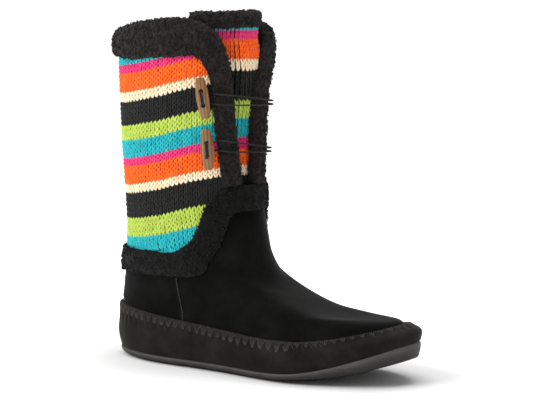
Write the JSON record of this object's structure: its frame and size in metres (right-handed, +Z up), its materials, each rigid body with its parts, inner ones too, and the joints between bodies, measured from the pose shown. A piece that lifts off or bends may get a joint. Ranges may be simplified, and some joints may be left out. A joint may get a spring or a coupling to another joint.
{
  "type": "sweater boot",
  "caption": "Right knitted sweater boot with fleece trim, a suede moccasin foot, a soft rubber sole and a split front closed by wooden toggles and elastic loops.",
  "frame": {"origin": "centre of the heel's flat spot, on the floor", "axes": "+X towards the toe, +Z up, -Y towards the outer side of the foot, where the toggles are"},
  "size_m": [0.2564, 0.0986, 0.2685],
  "materials": {
    "sole_rubber": "dark grey soft moulded rubber, matt",
    "insole_felt": "black short pile felt",
    "suede": "black suede, short nap",
    "suede_wrap": "black suede, short nap, puckered at the whipstitch",
    "knit": "striped wool knit: orange, cream, black, lime, teal and pink",
    "gusset_knit": "striped wool knit: the same stripes",
    "fleece": "black curly fleece",
    "gusset_pile": "black curly fleece",
    "hem_pile": "black curly fleece",
    "toggle_wood": "tan wood, satin",
    "sewing_thread": "black waxed thread",
    "elastic": "black round elastic"
  },
  "bodies": {
    "root": {"outsole": "sole_rubber", "insole": "insole_felt", "suede_upper": "suede", "moccasin_wrap": "suede_wrap", "knit_shaft": "knit", "knit_gusset": "gusset_knit", "collar_fleece": "fleece", "gusset_fleece": "gusset_pile", "hem_fleece": "hem_pile", "toggle_upper": "toggle_wood", "toggle_lower": "toggle_wood", "toggle_thread_upper": "sewing_thread", "toggle_thread_lower": "sewing_thread", "elastic_loop_upper": "elastic", "elastic_loop_lower": "elastic"}
  },
  "joints": []
}
